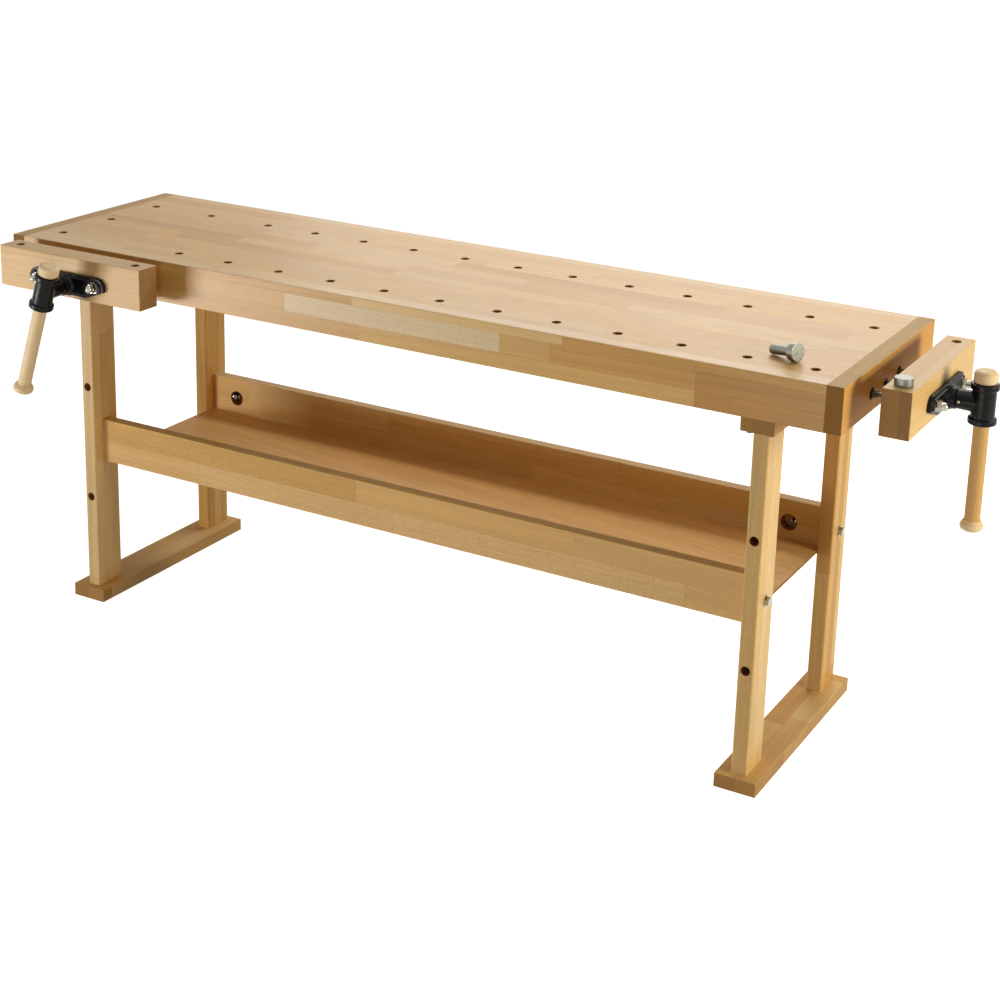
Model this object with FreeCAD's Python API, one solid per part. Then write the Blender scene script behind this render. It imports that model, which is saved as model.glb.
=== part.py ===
import FreeCAD, Part
import math
import os
from FreeCAD import Vector

# Woodworking bench with a front vise, an end vise and two steel bench dogs.
# Millimetres. X runs along the bench, Y from its front to its back, Z up from the floor.

# Bench top
bench_length = 1997.0
bench_depth = 541.0
bench_height = 864.0
apron_height = 92.0
apron_thickness = 34.0
end_cap_width = 34.0
panel_thickness = 36.0

# Dog holes in the top: two rows along X, a short column at the left end and one hole between
dog_hole_d = 19.0
hole_chamfer = 0.8
front_row_y = 76.5
row_spacing = 330.0
left_column_x = 82.0
first_column_x = 421.0
column_pitch = 135.7
last_column_least_margin = 75.0

# Feet, legs and the bars under the top
foot_width = 88.0
foot_thickness = 30.0
left_foot_inset = 143.0
right_foot_inset = 117.0
foot_inset_y = 4.5
leg_thickness = 33.0
leg_width = 80.0
leg_inset = 19.5
leg_edge_radius = 4.0
top_bar_width = 68.0
top_bar_thickness = 27.0
top_bar_inset_y = 1.0
bar_pin_hole_d = 4.0
bar_pin_hole_depth = 12.0
bar_pin_hole_from_front = 6.0
bar_pin_hole_below_top = 9.0
tenon_length = 16.0
tenon_thickness = 17.0
tenon_width = 50.0

# Peg holes in the front legs
peg_hole_d = 19.0
peg_hole_depth = 60.0
peg_hole_heights = (252.0, 522.0)

# Rails and shelf
rail_height = 102.0
rail_thickness = 27.0
rail_bottom_z = 338.0
shelf_thickness = 6.0
shelf_groove_depth = 8.0
shelf_above_rail_bottom = 6.0

# Rail bolts, with their nuts in round pockets in the inner faces of the rails
rail_bolt_d = 10.0
rail_bolt_head_flats = 17.0
rail_bolt_head_height = 6.5
rail_washer_d = 25.0
rail_washer_thickness = 2.5
rail_nut_height = 8.0
nut_washer_d = 21.0
nut_washer_thickness = 2.0
nut_pocket_d = 36.0
nut_pocket_distance = 75.0
bolt_end_beyond_nut = 3.0

# Screws that hold the top down on its bars
top_screw_d = 8.0
top_screw_head_flats = 13.0
top_screw_head_height = 5.5
top_screw_grip = 20.0
top_screw_spread = 40.0

# Vise jaws
jaw_length = 400.0
jaw_thickness = 57.5
front_gap = 33.0
end_gap = 55.0
jaw_travel_open = 120.0
screw_axis_below_top = 60.0
rod_offset = 80.0
rod_rise = 5.0
bench_rod_hole_d = 26.0

# Guide rods, lead screw and their hardware
guide_rod_d = 14.0
guide_rod_thread_d = 12.0
lead_screw_d = 20.0
journal_d = 16.0
cap_nut_flats = 19.0
cap_nut_hex_height = 10.0
cap_nut_dome_d = 17.0
cap_nut_height = 22.0
rod_washer_d = 24.0
rod_washer_thickness = 2.5
rod_plate_hole_d = 13.0
thread_in_cap_nut = 14.0

# Cast plate on the outer face of each jaw, with the boss that carries the screw
plate_thickness = 9.0
plate_below_axis = 22.0
plate_flat_half_length = 56.0
plate_nose_radius = 21.0
plate_nose_centre = 85.0
plate_nose_low_angle = -25.0
web_inset = 6.0
web_thickness = 4.0
web_counterbore_d = 28.0
boss_root_d = 56.0
boss_d = 42.0
boss_taper_length = 11.0
boss_length = 27.0

# Tee-shaped hub with the sliding handle
hub_axis_from_jaw = 77.0
hub_height = 79.0
hub_barrel_d = 45.0
hub_lip_d = 54.0
hub_lip_height = 12.0
hub_edge_radius = 2.0
hub_arm_d = 38.0
hub_arm_root_d = 42.0
hub_socket_depth = 25.0
hub_pin_d = 5.0
hub_pin_from_jaw = 36.0
hub_pin_proud = 0.6
handle_d = 30.0
handle_length = 272.0
handle_tenon_d = 18.0
handle_tenon_length = 12.0
knob_d = 45.0
knob_height = 24.0
knob_edge_radius = 8.0
front_handle_tilt = 17.5
end_handle_tilt = 0.0

# Bracket inside the rim of the bench, with the screw's nut and the rods' bores
bracket_half_length = 100.0
bracket_plate_thickness = 8.0
bracket_below_axis = 24.0
bracket_under_panel = 1.0
bracket_boss_length = 40.0
nut_boss_d = 32.0
rod_boss_d = 26.0
rod_end_past_bracket = 20.0
bracket_screw_d = 5.0
bracket_screw_head_d = 9.0
bracket_screw_head_height = 3.0
bracket_screw_length = 22.0
bracket_screw_offset = 45.0
bracket_screw_rows = (-15.0, 6.0)

# Steel bench dogs: one stands in the end jaw, one lies on the top
dog_head_d = 35.0
dog_head_height = 16.0
dog_shank_length = 51.0
dog_edge_radius = 1.5
loose_dog_from_right = 188.0
loose_dog_y = 122.5
loose_dog_turn = -23.0

# Edge easing and clearances
wood_edge = 1.5
metal_edge = 1.0
running_gap = 0.08
thread_gap = 0.05
bolt_gap = 0.5
resting_gap = 0.05
hub_face_gap = 0.4
overrun = 5.0

X_AXIS = Vector(1, 0, 0)
Y_AXIS = Vector(0, 1, 0)
Z_AXIS = Vector(0, 0, 1)

# Heights and places that follow from the values above
apron_bottom_z = bench_height - apron_height
panel_bottom_z = bench_height - panel_thickness
top_bar_bottom_z = apron_bottom_z - top_bar_thickness
screw_axis_z = bench_height - screw_axis_below_top
foot_length = bench_depth - 2 * foot_inset_y
frame_centres_x = (left_foot_inset + foot_width / 2, bench_length - right_foot_inset - foot_width / 2)
leg_centres_y = (foot_inset_y + leg_inset + leg_width / 2,
                 bench_depth - foot_inset_y - leg_inset - leg_width / 2)
rail_start_x = frame_centres_x[0] + leg_thickness / 2
rail_end_x = frame_centres_x[1] - leg_thickness / 2
rail_middle_z = rail_bottom_z + rail_height / 2
nut_pocket_depth = (rail_thickness + nut_washer_d) / 2 + bolt_gap
shelf_bottom_z = rail_bottom_z + shelf_above_rail_bottom
front_jaw_centre_x = left_column_x + row_spacing / 2
end_jaw_centre_y = front_row_y + row_spacing / 2
hub_reach = jaw_thickness + hub_axis_from_jaw + hub_lip_d / 2

# The origin is on the floor, under the middle of the box that holds the whole bench
centre_x = (bench_length + end_gap + hub_reach) / 2
centre_y = (bench_depth - front_gap - hub_reach) / 2
to_origin = Vector(-centre_x, -centre_y, 0)


def block(x0, x1, y0, y1, z0, z1):
    return Part.makeBox(x1 - x0, y1 - y0, z1 - z0, Vector(x0, y0, z0))


def rod(diameter, start, direction, length):
    return Part.makeCylinder(diameter / 2, length, start, direction)


def eased(shape, radius, wanted):
    """Rounds the edges of shape whose bounding box passes the test wanted."""
    edges = [edge for edge in shape.Edges if wanted(edge.BoundBox)]
    return shape.makeFillet(radius, edges)


def hexagon(flats, start, direction, length):
    """Hexagonal prism along direction, from start."""
    corner = flats / math.sqrt(3)
    points = [Vector(corner * math.cos(math.radians(60 * i)), corner * math.sin(math.radians(60 * i)), 0)
              for i in range(7)]
    prism = Part.Face(Part.makePolygon(points)).extrude(Vector(0, 0, length))
    turn = FreeCAD.Rotation(Z_AXIS, direction)
    prism.Placement = FreeCAD.Placement(start, turn)
    return prism


def ring(outer_d, inner_d, start, direction, length):
    return rod(outer_d, start, direction, length).cut(rod(inner_d, start, direction, length))


def chamfered_hole(x, y, top_z, bottom_z):
    """Tool for a round hole down through a board, with a small chamfer at its mouth."""
    shaft = rod(dog_hole_d, Vector(x, y, bottom_z - overrun), Z_AXIS, top_z - bottom_z + 2 * overrun)
    mouth = Part.makeCone(dog_hole_d / 2, dog_hole_d / 2 + hole_chamfer, hole_chamfer,
                          Vector(x, y, top_z - hole_chamfer), Z_AXIS)
    return shaft.fuse(mouth)


def export(name, solids):
    """Writes one node: its solids, moved from the bench's corner to the origin."""
    moved = []
    for solid in solids:
        copy = solid.copy()
        copy.translate(to_origin)
        moved.append(copy)
    shape = moved[0] if len(moved) == 1 else Part.makeCompound(moved)
    shape.exportStep(os.path.join("parts", name + ".step"))


# ---- Bench top ----

def dog_hole_places():
    """Centres of the dog holes in the top, front row first."""
    back_row_y = front_row_y + row_spacing
    room = bench_length - last_column_least_margin - first_column_x
    columns = int(room // column_pitch) + 1
    places = []
    for row_y in (front_row_y, back_row_y):
        places.append((left_column_x, row_y))
        for i in range(columns):
            places.append((first_column_x + i * column_pitch, row_y))
    places.append((left_column_x, front_row_y + row_spacing / 2))
    places.append(((left_column_x + first_column_x) / 2, back_row_y))
    return places


def make_top_panel():
    panel = block(end_cap_width, bench_length - end_cap_width,
                  apron_thickness, bench_depth - apron_thickness, panel_bottom_z, bench_height)
    holes = [chamfered_hole(x, y, bench_height, panel_bottom_z) for x, y in dog_hole_places()]
    return panel.cut(holes)


def front_vise_centre():
    return Vector(front_jaw_centre_x, 0, screw_axis_z)


def end_vise_centre():
    return Vector(bench_length, end_jaw_centre_y, screw_axis_z)


def make_apron(y0, outer_y):
    board = block(end_cap_width, bench_length - end_cap_width, y0, y0 + apron_thickness,
                  apron_bottom_z, bench_height)
    return eased(board, wood_edge, lambda box: box.XLength > apron_height and abs(box.YMin - outer_y) < 0.01
                 and box.YLength < 0.01)


def make_front_apron():
    return make_apron(0, 0).cut(placed(rim_tools(apron_thickness), front_vise_centre(), 0))


def make_back_apron():
    return make_apron(bench_depth - apron_thickness, bench_depth)


def make_end_cap(x0, joint_x):
    cap = block(x0, x0 + end_cap_width, 0, bench_depth, apron_bottom_z, bench_height)
    return eased(cap, wood_edge,
                 lambda box: not (abs(box.XMin - joint_x) < 0.01 and abs(box.XMax - joint_x) < 0.01))


def make_right_end_cap():
    cap = make_end_cap(bench_length - end_cap_width, bench_length - end_cap_width)
    return cap.cut(placed(rim_tools(end_cap_width), end_vise_centre(), 90))


# ---- Trestles: feet, legs and top bars ----

def tenon(centre_x, centre_y, z0, z1):
    return block(centre_x - tenon_thickness / 2, centre_x + tenon_thickness / 2,
                 centre_y - tenon_width / 2, centre_y + tenon_width / 2, z0, z1)


def make_foot(centre_x):
    foot = block(centre_x - foot_width / 2, centre_x + foot_width / 2,
                 foot_inset_y, foot_inset_y + foot_length, 0, foot_thickness)
    foot = eased(foot, wood_edge, lambda box: True)
    mortises = [tenon(centre_x, y, foot_thickness - tenon_length, foot_thickness + overrun)
                for y in leg_centres_y]
    return foot.cut(mortises)


def make_leg(centre_x, centre_y, has_peg_holes):
    leg = block(centre_x - leg_thickness / 2, centre_x + leg_thickness / 2,
                centre_y - leg_width / 2, centre_y + leg_width / 2, foot_thickness, top_bar_bottom_z)
    leg = eased(leg, leg_edge_radius, lambda box: box.ZLength > leg_width)
    lower = tenon(centre_x, centre_y, foot_thickness - tenon_length, foot_thickness)
    upper = tenon(centre_x, centre_y, top_bar_bottom_z, top_bar_bottom_z + tenon_length)
    leg = leg.fuse([lower, upper])
    bolt_hole = rod(rail_bolt_d + 2 * bolt_gap, Vector(centre_x - leg_thickness, centre_y, rail_middle_z),
                    X_AXIS, 2 * leg_thickness)
    tools = [bolt_hole]
    if has_peg_holes:
        front_y = centre_y - leg_width / 2
        for z in peg_hole_heights:
            tools.append(rod(peg_hole_d, Vector(centre_x, front_y - overrun, z), Y_AXIS,
                             peg_hole_depth + overrun))
    return leg.cut(tools)


def top_screw_places(centre_x):
    """Axes of the screws that go up through a top bar into the aprons."""
    return [Vector(centre_x + side * top_screw_spread / 2, y, top_bar_bottom_z)
            for side in (-1, 1)
            for y in (apron_thickness / 2, bench_depth - apron_thickness / 2)]


def make_top_bar(centre_x, outward):
    """outward is +1 where the bar's outer side looks along +X, and -1 on the other bar."""
    bar = block(centre_x - top_bar_width / 2, centre_x + top_bar_width / 2,
                top_bar_inset_y, bench_depth - top_bar_inset_y, top_bar_bottom_z, apron_bottom_z)
    bar = eased(bar, wood_edge,
                lambda box: box.YLength > top_bar_width and box.ZMin < top_bar_bottom_z + 0.01)
    tools = [tenon(centre_x, y, top_bar_bottom_z - overrun, top_bar_bottom_z + tenon_length)
             for y in leg_centres_y]
    for place in top_screw_places(centre_x):
        tools.append(rod(top_screw_d + 2 * bolt_gap, place - Z_AXIS * overrun, Z_AXIS,
                         top_bar_thickness + 2 * overrun))
    tools.append(rod(bar_pin_hole_d, Vector(centre_x + outward * (top_bar_width / 2 - bar_pin_hole_depth),
                                            top_bar_inset_y + bar_pin_hole_from_front,
                                            apron_bottom_z - bar_pin_hole_below_top),
                     X_AXIS * outward, bar_pin_hole_depth + overrun))
    return bar.cut(tools)


def make_top_screws():
    screws = []
    for centre_x in frame_centres_x:
        for place in top_screw_places(centre_x):
            head = hexagon(top_screw_head_flats, place - Z_AXIS * top_screw_head_height, Z_AXIS,
                           top_screw_head_height)
            shank = rod(top_screw_d, place, Z_AXIS, top_bar_thickness + top_screw_grip)
            screws.append(head.fuse(shank))
    return screws


def drilled_for_top_screws(apron):
    """Pilot holes for the top screws, which end inside the apron."""
    tools = [rod(top_screw_d + 2 * thread_gap, place, Z_AXIS, top_bar_thickness + top_screw_grip + thread_gap)
             for centre_x in frame_centres_x for place in top_screw_places(centre_x)]
    return apron.cut(tools)


# ---- Rails, shelf and rail bolts ----

def rail_ends():
    """For each rail end: the end face's x, and the way out of the rail there."""
    return ((rail_start_x, -1), (rail_end_x, 1))


def make_rail(centre_y, inward):
    """inward is +1 where the rail's inner face looks along +Y, and -1 on the other rail."""
    rail = block(rail_start_x, rail_end_x, centre_y - rail_thickness / 2, centre_y + rail_thickness / 2,
                 rail_bottom_z, rail_bottom_z + rail_height)
    rail = eased(rail, wood_edge, lambda box: box.XLength > rail_height)
    inner_y = centre_y + inward * rail_thickness / 2
    groove_y = sorted((inner_y - inward * shelf_groove_depth, inner_y + inward * overrun))
    tools = [block(rail_start_x - overrun, rail_end_x + overrun, groove_y[0], groove_y[1],
                   shelf_bottom_z, shelf_bottom_z + shelf_thickness)]
    for end_x, out in rail_ends():
        tools.append(rod(rail_bolt_d + 2 * bolt_gap, Vector(end_x + out * overrun, centre_y, rail_middle_z),
                         X_AXIS * -out, nut_pocket_distance + overrun + nut_pocket_d / 2))
        pocket_start = Vector(end_x - out * nut_pocket_distance, inner_y + inward * overrun, rail_middle_z)
        tools.append(rod(nut_pocket_d, pocket_start, Y_AXIS * -inward, nut_pocket_depth + overrun))
    return rail.cut(tools)


def make_shelf():
    front_y = leg_centres_y[0] + rail_thickness / 2 - shelf_groove_depth
    back_y = leg_centres_y[1] - rail_thickness / 2 + shelf_groove_depth
    return block(rail_start_x, rail_end_x, front_y, back_y, shelf_bottom_z, shelf_bottom_z + shelf_thickness)


def rail_bolt_lines():
    """For each bolt: the middle of the leg's outer face, the way out, and the nut washer's seat."""
    seat_depth = nut_pocket_distance - math.sqrt((nut_pocket_d / 2) ** 2 - (nut_washer_d / 2) ** 2)
    lines = []
    for end_x, out in rail_ends():
        for y in leg_centres_y:
            face = Vector(end_x + out * leg_thickness, y, rail_middle_z)
            seat = Vector(end_x - out * (seat_depth + resting_gap), y, rail_middle_z)
            lines.append((face, X_AXIS * out, seat))
    return lines


def make_rail_bolts():
    bolts = []
    for face, out, seat in rail_bolt_lines():
        under_head = face + out * rail_washer_thickness
        tip = seat - out * (nut_washer_thickness + rail_nut_height + bolt_end_beyond_nut)
        head = hexagon(rail_bolt_head_flats, under_head, out, rail_bolt_head_height)
        shank = rod(rail_bolt_d, under_head, -out, (under_head - tip).Length)
        bolts.append(head.fuse(shank))
    return bolts


def make_rail_washers():
    washers = []
    for face, out, seat in rail_bolt_lines():
        washers.append(ring(rail_washer_d, rail_bolt_d + 2 * bolt_gap, face, out, rail_washer_thickness))
        washers.append(ring(nut_washer_d, rail_bolt_d + 2 * bolt_gap, seat, -out, nut_washer_thickness))
    return washers


def make_rail_nuts():
    nuts = []
    for face, out, seat in rail_bolt_lines():
        start = seat - out * nut_washer_thickness
        nut = hexagon(rail_bolt_head_flats, start, -out, rail_nut_height)
        nuts.append(nut.cut(rod(rail_bolt_d + 2 * thread_gap, start, -out, rail_nut_height)))
    return nuts


# ---- Vises ----
# Each vise is drawn about its screw's axis: local X runs along the jaw, local -Y is the way
# out of the bench, local Z is up, and y = 0 is the bench's face.

def placed(shapes, centre, turn):
    """Takes a vise's solids from the vise's own axes to the bench."""
    out = []
    for shape in shapes:
        copy = shape.copy()
        copy.Placement = FreeCAD.Placement(centre, FreeCAD.Rotation(Z_AXIS, turn)).multiply(copy.Placement)
        out.append(copy)
    return out


def rod_places(y):
    """Points at y on the axes of the two guide rods."""
    return [Vector(side * rod_offset, y, rod_rise) for side in (-1, 1)]


def make_jaw(gap):
    below = bench_height - apron_height - screw_axis_z
    above = bench_height - screw_axis_z
    board = block(-jaw_length / 2, jaw_length / 2, -gap - jaw_thickness, -gap, below, above)
    board = eased(board, wood_edge, lambda box: True)
    tools = [chamfered_hole(side * row_spacing / 2, -gap - jaw_thickness / 2, above, below)
             for side in (-1, 1)]
    start_y = -gap + overrun
    drill_length = jaw_thickness + 2 * overrun
    tools.append(rod(bench_rod_hole_d, Vector(0, start_y, 0), -Y_AXIS, drill_length))
    for place in rod_places(start_y):
        tools.append(rod(guide_rod_d + 2 * thread_gap, place, -Y_AXIS, drill_length))
    return board.cut(tools)


def plate_outline(inset, y):
    """Outline of the cast plate: level top, round noses, and a lower edge that rises to them."""
    nose_radius = plate_nose_radius - inset
    bottom = -plate_below_axis + inset
    low = math.radians(plate_nose_low_angle)
    middle = math.radians((90 + plate_nose_low_angle) / 2)

    def nose(side, angle):
        return Vector(side * (plate_nose_centre + nose_radius * math.cos(angle)), y,
                      rod_rise + nose_radius * math.sin(angle))

    right_flat = Vector(plate_flat_half_length, y, bottom)
    left_flat = Vector(-plate_flat_half_length, y, bottom)
    edges = [
        Part.makeLine(left_flat, right_flat),
        Part.makeLine(right_flat, nose(1, low)),
        Part.Arc(nose(1, low), nose(1, middle), nose(1, math.pi / 2)).toShape(),
        Part.makeLine(nose(1, math.pi / 2), nose(-1, math.pi / 2)),
        Part.Arc(nose(-1, math.pi / 2), nose(-1, middle), nose(-1, low)).toShape(),
        Part.makeLine(nose(-1, low), left_flat),
    ]
    return Part.Face(Part.Wire(edges))


def make_flange(gap):
    face_y = -gap - jaw_thickness
    plate = plate_outline(0, face_y).extrude(Vector(0, -plate_thickness, 0))
    plate = eased(plate, metal_edge, lambda box: box.YMax < face_y - plate_thickness + 0.01)
    web = plate_outline(web_inset, face_y - plate_thickness).extrude(Vector(0, -web_thickness, 0))
    web = eased(web, metal_edge, lambda box: box.YMax < face_y - plate_thickness - web_thickness + 0.01)
    for place in rod_places(face_y - plate_thickness):
        web = web.cut(rod(web_counterbore_d, place, -Y_AXIS, web_thickness + overrun))
    taper = Part.makeCone(boss_root_d / 2, boss_d / 2, boss_taper_length,
                          Vector(0, face_y - plate_thickness, 0), -Y_AXIS)
    body_box = block(-plate_flat_half_length, plate_flat_half_length, face_y - boss_length, face_y,
                     -plate_below_axis, rod_rise + plate_nose_radius)
    boss = rod(boss_d, Vector(0, face_y, 0), -Y_AXIS, boss_length)
    boss = eased(boss, metal_edge, lambda box: box.YMax < face_y - boss_length + 0.01)
    flange = plate.fuse([web, taper.common(body_box), boss])
    tools = [rod(journal_d + 2 * running_gap, Vector(0, face_y + overrun, 0), -Y_AXIS,
                 boss_length + 2 * overrun)]
    for place in rod_places(face_y + overrun):
        tools.append(rod(rod_plate_hole_d, place, -Y_AXIS, plate_thickness + 2 * overrun))
    return flange.cut(tools).removeSplitter()


def rod_inner_end(rim):
    """Where the rods and the screw end inside the bench, so that they reach at full travel."""
    return rim + bracket_plate_thickness + bracket_boss_length + jaw_travel_open + rod_end_past_bracket


def make_guide_rods(gap, rim):
    rods = []
    shoulder_y = -gap - jaw_thickness
    inner_y = rod_inner_end(rim)
    thread_length = plate_thickness + rod_washer_thickness + thread_in_cap_nut
    for inner, shoulder in zip(rod_places(inner_y), rod_places(shoulder_y)):
        body = rod(guide_rod_d, inner, -Y_AXIS, inner_y - shoulder_y)
        body = body.makeChamfer(metal_edge, [edge for edge in body.Edges
                                             if edge.BoundBox.YMin > inner_y - metal_edge / 2])
        rods.append(body.fuse(rod(guide_rod_thread_d, shoulder, -Y_AXIS, thread_length)))
    return rods


def make_rod_washers(gap):
    y = -gap - jaw_thickness - plate_thickness
    return [ring(rod_washer_d, rod_plate_hole_d, place, -Y_AXIS, rod_washer_thickness)
            for place in rod_places(y)]


def make_cap_nuts(gap):
    nuts = []
    seat_y = -gap - jaw_thickness - plate_thickness - rod_washer_thickness
    dome_radius = cap_nut_dome_d / 2
    for seat in rod_places(seat_y):
        crown = seat - Y_AXIS * (cap_nut_height - dome_radius)
        corner_cone = Part.makeCone(cap_nut_flats / 2 + cap_nut_hex_height,
                                    cap_nut_flats / 2 - metal_edge / 2,
                                    cap_nut_hex_height + metal_edge / 2, seat, -Y_AXIS)
        hex_part = hexagon(cap_nut_flats, seat, -Y_AXIS, cap_nut_hex_height).common(corner_cone)
        stem = rod(cap_nut_dome_d, seat, -Y_AXIS, cap_nut_height - dome_radius)
        nut = hex_part.fuse([stem, Part.makeSphere(dome_radius, crown)])
        thread = rod(guide_rod_thread_d + 2 * thread_gap, seat + Y_AXIS * overrun, -Y_AXIS,
                     thread_in_cap_nut + thread_gap + overrun)
        nuts.append(nut.cut(thread))
    return nuts


def make_lead_screw(gap, rim):
    shoulder_y = -gap - jaw_thickness
    inner_y = rod_inner_end(rim)
    screw = rod(lead_screw_d, Vector(0, inner_y, 0), -Y_AXIS, inner_y - shoulder_y)
    screw = screw.makeChamfer(metal_edge, [edge for edge in screw.Edges
                                           if edge.BoundBox.YMin > inner_y - metal_edge / 2])
    journal_length = boss_length + hub_face_gap + hub_socket_depth
    return screw.fuse(rod(journal_d, Vector(0, shoulder_y, 0), -Y_AXIS, journal_length))


def hub_pin_axis(gap, diameter, proud):
    y = -gap - jaw_thickness - hub_pin_from_jaw
    length = hub_arm_root_d + 2 * proud
    return rod(diameter, Vector(-length / 2, y, 0), X_AXIS, length)


def make_hub(gap):
    face_y = -gap - jaw_thickness
    axis_y = face_y - hub_axis_from_jaw
    low = -hub_height / 2
    barrel = rod(hub_barrel_d, Vector(0, axis_y, low), Z_AXIS, hub_height)
    lips = []
    for z in (low, hub_height / 2 - hub_lip_height):
        lip = rod(hub_lip_d, Vector(0, axis_y, z), Z_AXIS, hub_lip_height)
        lips.append(eased(lip, hub_edge_radius, lambda box: box.ZLength < 0.01))
    arm_start = Vector(0, face_y - boss_length - hub_face_gap, 0)
    arm = Part.makeCone(hub_arm_d / 2, hub_arm_root_d / 2, hub_axis_from_jaw - boss_length - hub_face_gap,
                        arm_start, -Y_AXIS)
    hub = barrel.fuse(lips + [arm])
    bore = rod(handle_d + 2 * running_gap, Vector(0, axis_y, low - overrun), Z_AXIS, hub_height + 2 * overrun)
    socket = rod(journal_d + 2 * thread_gap, arm_start + Y_AXIS * overrun, -Y_AXIS,
                 overrun + hub_socket_depth + thread_gap)
    return hub.cut([bore, socket]).removeSplitter()


def make_handle_bar(gap):
    axis_y = -gap - jaw_thickness - hub_axis_from_jaw
    top = hub_height / 2
    bar = rod(handle_d, Vector(0, axis_y, top - handle_length), Z_AXIS, handle_length)
    tenons = rod(handle_tenon_d, Vector(0, axis_y, top - handle_length - handle_tenon_length), Z_AXIS,
                 handle_length + 2 * handle_tenon_length)
    return bar.fuse(tenons)


def make_knob(base, direction):
    """Turned knob with a socket for the handle's tenon in its base."""
    knob = rod(knob_d, base, direction, knob_height)
    knob = eased(knob, knob_edge_radius, lambda box: box.ZLength < 0.01)
    return knob.cut(rod(handle_tenon_d + 2 * thread_gap, base - direction * overrun, direction,
                        handle_tenon_length + thread_gap + overrun))


def tilted(shape, angle):
    """Turns a piece of the hub about the screw's axis; positive leans its top along local X."""
    copy = shape.copy()
    copy.rotate(Vector(0, 0, 0), Y_AXIS, angle)
    return copy


def make_bracket(rim):
    top = panel_bottom_z - bracket_under_panel - screw_axis_z
    plate = block(-bracket_half_length, bracket_half_length, rim, rim + bracket_plate_thickness,
                  -bracket_below_axis, top)
    boss_end = rim + bracket_plate_thickness + bracket_boss_length
    bosses = [rod(nut_boss_d, Vector(0, rim, 0), Y_AXIS, boss_end - rim)]
    tools = [rod(lead_screw_d + 2 * running_gap, Vector(0, rim - overrun, 0), Y_AXIS,
                 boss_end - rim + 2 * overrun)]
    for place in rod_places(rim):
        bosses.append(rod(rod_boss_d, place, Y_AXIS, boss_end - rim))
        tools.append(rod(guide_rod_d + 2 * running_gap, place - Y_AXIS * overrun, Y_AXIS,
                         boss_end - rim + 2 * overrun))
    for seat in bracket_screw_lines(rim):
        tools.append(rod(bracket_screw_d + 2 * bolt_gap, seat + Y_AXIS * overrun, -Y_AXIS,
                         bracket_plate_thickness + 2 * overrun))
    return plate.fuse(bosses).cut(tools).removeSplitter()


def bracket_screw_lines(rim):
    return [Vector(side * bracket_screw_offset, rim + bracket_plate_thickness, z)
            for side in (-1, 1) for z in bracket_screw_rows]


def make_bracket_screws(rim):
    screws = []
    for seat in bracket_screw_lines(rim):
        head = rod(bracket_screw_head_d, seat, Y_AXIS, bracket_screw_head_height)
        outer_y = seat.y + bracket_screw_head_height
        head = eased(head, metal_edge, lambda box: box.YMin > outer_y - 0.01)
        screws.append(head.fuse(rod(bracket_screw_d, seat, -Y_AXIS, bracket_screw_length)))
    return screws


def rim_tools(rim):
    """Tools for the holes a vise needs in the bench's rim: rods, screw and bracket screws."""
    places = rod_places(-overrun) + [Vector(0, -overrun, 0)]
    tools = [rod(bench_rod_hole_d, place, Y_AXIS, rim + 2 * overrun) for place in places]
    for seat in bracket_screw_lines(rim):
        tools.append(rod(bracket_screw_d + 2 * thread_gap, seat, -Y_AXIS, bracket_screw_length + thread_gap))
    return tools


def export_vise(prefix, gap, rim, centre, turn, handle_tilt):
    pin_hole = hub_pin_axis(gap, hub_pin_d, overrun)
    hub = make_hub(gap).cut(pin_hole)
    knob_axis_y = -gap - jaw_thickness - hub_axis_from_jaw
    bar_top = hub_height / 2
    turning = {
        "_hub": [hub],
        "_hub_pin": [hub_pin_axis(gap, hub_pin_d, hub_pin_proud)],
        "_lead_screw": [make_lead_screw(gap, rim).cut(pin_hole)],
        "_handle_bar": [make_handle_bar(gap)],
        "_handle_upper_knob": [make_knob(Vector(0, knob_axis_y, bar_top), Z_AXIS)],
        "_handle_lower_knob": [make_knob(Vector(0, knob_axis_y, bar_top - handle_length), -Z_AXIS)],
    }
    for name, solids in turning.items():
        leaning = [tilted(solid, handle_tilt) for solid in solids]
        export(prefix + name, placed(leaning, centre, turn))
    steady = {
        "_jaw": [make_jaw(gap)],
        "_flange": [make_flange(gap)],
        "_guide_rods": make_guide_rods(gap, rim),
        "_rod_washers": make_rod_washers(gap),
        "_cap_nuts": make_cap_nuts(gap),
        "_bracket": [make_bracket(rim)],
        "_bracket_screws": make_bracket_screws(rim),
    }
    for name, solids in steady.items():
        export(prefix + name, placed(solids, centre, turn))


# ---- Bench dogs ----

def make_dog(head_base):
    """Dog with its shank down and the underside of its head at head_base."""
    head = rod(dog_head_d, head_base, Z_AXIS, dog_head_height)
    head = eased(head, dog_edge_radius, lambda box: box.ZLength < 0.01)
    shank_d = dog_hole_d - 2 * running_gap
    shank = rod(shank_d, head_base, -Z_AXIS, dog_shank_length)
    shank = shank.makeChamfer(metal_edge, [edge for edge in shank.Edges
                                           if edge.BoundBox.ZMax < head_base.z - dog_shank_length + 0.01])
    return head.fuse(shank)


def make_standing_dog():
    jaw_middle_x = bench_length + end_gap + jaw_thickness / 2
    return make_dog(Vector(jaw_middle_x, front_row_y, bench_height))


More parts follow.
